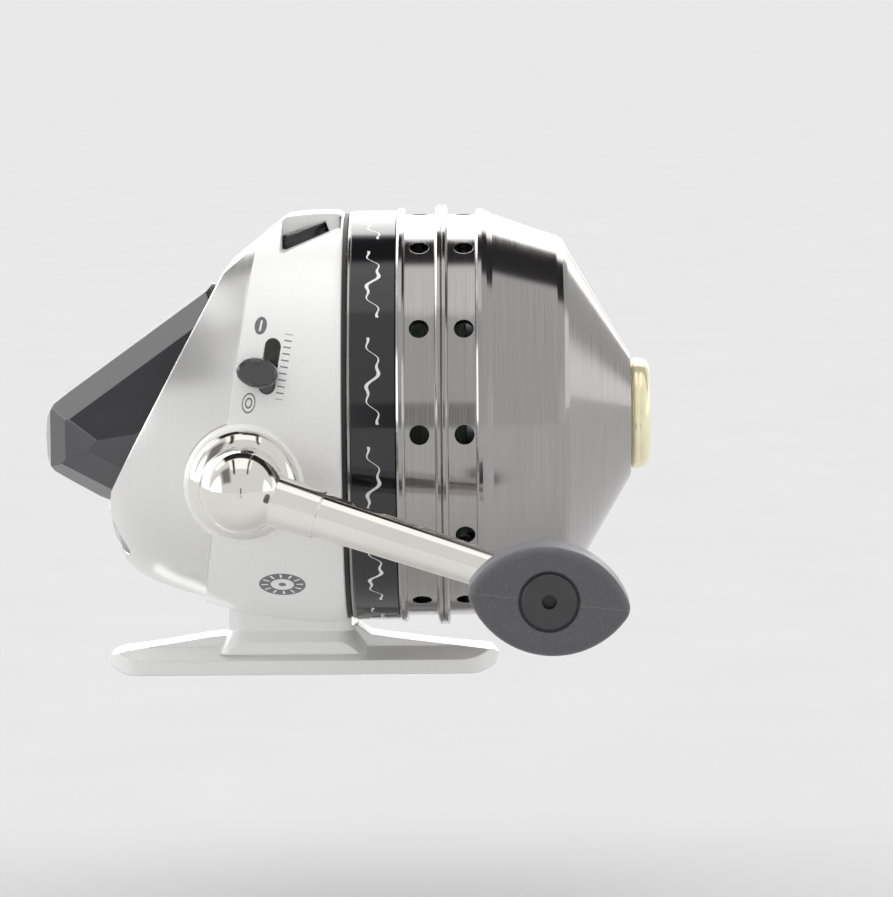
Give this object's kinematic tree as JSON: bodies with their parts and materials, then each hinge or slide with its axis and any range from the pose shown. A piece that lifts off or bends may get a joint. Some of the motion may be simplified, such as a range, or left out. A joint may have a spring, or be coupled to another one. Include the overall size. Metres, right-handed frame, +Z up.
{
  "type": "spincast fishing reel",
  "caption": "Closed-face spincast fishing reel with thumb button, geared crank and knob, drag wheel, spool, vented cover and rod foot.",
  "frame": {"origin": "crown of the foot underside, halfway along the foot", "axes": "+X along the spool axis towards the line guide, +Z up from the rod, crank on the -Y side"},
  "size_m": [0.0965, 0.0959, 0.0751],
  "materials": {
    "body_silver": "satin",
    "cover_steel": "brushed",
    "band_black": "gloss",
    "guide_gold": "polished gold plate",
    "gasket_rubber": "matte",
    "button_grey": "semi-gloss",
    "wheel_black": "gloss",
    "lever_black": "gloss",
    "chrome": "polished",
    "knob_rubber": "fine speckle",
    "cap_grey": "satin",
    "steel": "satin",
    "bearing_steel": "polished",
    "gear_brass": "machined",
    "frame_grey": "die cast",
    "spool_alloy": "anodised",
    "line_nylon": "clear monofilament",
    "felt": "felt"
  },
  "bodies": {
    "body": {"main_housing": "body_silver", "rear_cover": "body_silver", "rear_cover_screws": "steel", "seam_gasket": "gasket_rubber", "gear_frame": "frame_grey", "frame_screws": "steel", "pinion_rear_bush": "gear_brass", "bearing_outer_race": "bearing_steel", "bearing_balls": "bearing_steel", "crank_bearing": "gear_brass", "crank_bush": "gear_brass", "side_cap": "chrome", "pawl_pin": "steel", "pawl_spring": "steel", "spool_clip": "steel", "button_pin": "steel"},
    "cover": {"front_cover": "cover_steel", "cover_band": "band_black", "line_guide_ring": "guide_gold", "guide_nut": "steel", "brake_ring": "gasket_rubber"},
    "crank": {"crank_shaft": "steel", "shaft_clip": "steel", "drive_gear": "frame_grey", "ratchet_wheel": "steel", "crank_cup": "chrome", "crank_arm": "chrome", "knob_post": "steel", "knob_screw": "steel"},
    "knob": {"knob_grip": "knob_rubber", "knob_cap": "cap_grey"},
    "pinion_gear": {"pinion": "gear_brass", "bearing_inner_race": "bearing_steel"},
    "plunger": {"thrust_cap": "cap_grey", "return_spring": "steel"},
    "rotor": {"centre_shaft": "steel", "thrust_clip": "steel", "spinner_head": "spool_alloy", "spinner_nut": "gear_brass"},
    "pin_a": {"pickup_pin_a": "bearing_steel"},
    "pin_b": {"pickup_pin_b": "bearing_steel"},
    "button": {"thumb_button": "button_grey"},
    "switch": {"anti_reverse_switch": "lever_black"},
    "pawl_lever": {"pawl": "steel"},
    "drag_dial": {"drag_wheel": "wheel_black", "drag_cam": "steel"},
    "drag_shoe": {"drag_plate": "steel", "drag_felt": "felt"},
    "spool_drum": {"spool": "spool_alloy", "line_winding": "line_nylon"}
  },
  "joints": [
    {"name": "crank_turn", "type": "hinge", "parent": "body", "child": "crank", "pos_m": [-0.0075, 0, 0.0325], "axis": [0, 1, 0], "continuous": true},
    {"name": "knob_spin", "type": "hinge", "parent": "crank", "child": "knob", "pos_m": [0.0393, -0.056, 0.0178], "axis": [0, -1, 0], "continuous": true},
    {"name": "pinion_spin", "type": "hinge", "parent": "body", "child": "pinion_gear", "pos_m": [0.006, 0, 0.04], "axis": [1, 0, 0], "continuous": true},
    {"name": "button_press", "type": "hinge", "parent": "body", "child": "button", "pos_m": [-0.0149, 0, 0.0576], "axis": [0, -1, 0], "range_deg": [0, 7.4]},
    {"name": "plunger_slide", "type": "slide", "parent": "body", "child": "plunger", "axis": [1, 0, 0], "range_m": [0, 0.00227]},
    {"name": "rotor_spin", "type": "hinge", "parent": "plunger", "child": "rotor", "pos_m": [0.034, 0, 0.04], "axis": [1, 0, 0], "continuous": true},
    {"name": "pin_a_slide", "type": "slide", "parent": "rotor", "child": "pin_a", "axis": [0, 0, -1], "range_m": [0, 0.0021]},
    {"name": "pin_b_slide", "type": "slide", "parent": "rotor", "child": "pin_b", "axis": [0, 0, 1], "range_m": [0, 0.0021]},
    {"name": "switch_slide", "type": "slide", "parent": "body", "child": "switch", "axis": [0.1564, 0, 0.9877], "range_m": [0, 0.0042]},
    {"name": "pawl_turn", "type": "hinge", "parent": "body", "child": "pawl_lever", "pos_m": [0.0058, -0.0166, 0.0395], "axis": [0, -1, 0], "range_deg": [0, 10.6]},
    {"name": "drag_turn", "type": "hinge", "parent": "body", "child": "drag_dial", "pos_m": [0.0002, 0, 0.0686], "axis": [-0.342, 0, 0.9397], "range_deg": [0, 180]},
    {"name": "drag_shoe_slide", "type": "slide", "parent": "body", "child": "drag_shoe", "axis": [1, 0, 0], "range_m": [0, 0.00035]},
    {"name": "spool_slip", "type": "hinge", "parent": "body", "child": "spool_drum", "pos_m": [0.0218, 0, 0.04], "axis": [1, 0, 0], "continuous": true},
    {"name": "cover_twist", "type": "hinge", "parent": "body", "child": "cover", "pos_m": [0.0084, 0, 0.04], "axis": [1, 0, 0], "range_deg": [0, 30]}
  ],
  "couplings": [
    {"joint": "pinion_spin", "follows": "crank_turn", "ratio": 3.6},
    {"joint": "rotor_spin", "follows": "crank_turn", "ratio": 3.6},
    {"joint": "button_press", "follows": "plunger_slide", "rad_per_m": 56.8},
    {"joint": "pin_a_slide", "follows": "plunger_slide", "ratio": 0.88},
    {"joint": "pin_b_slide", "follows": "plunger_slide", "ratio": 0.88},
    {"joint": "pawl_turn", "follows": "switch_slide", "rad_per_m": 43.6},
    {"joint": "drag_turn", "follows": "drag_shoe_slide", "rad_per_m": 8975}
  ]
}
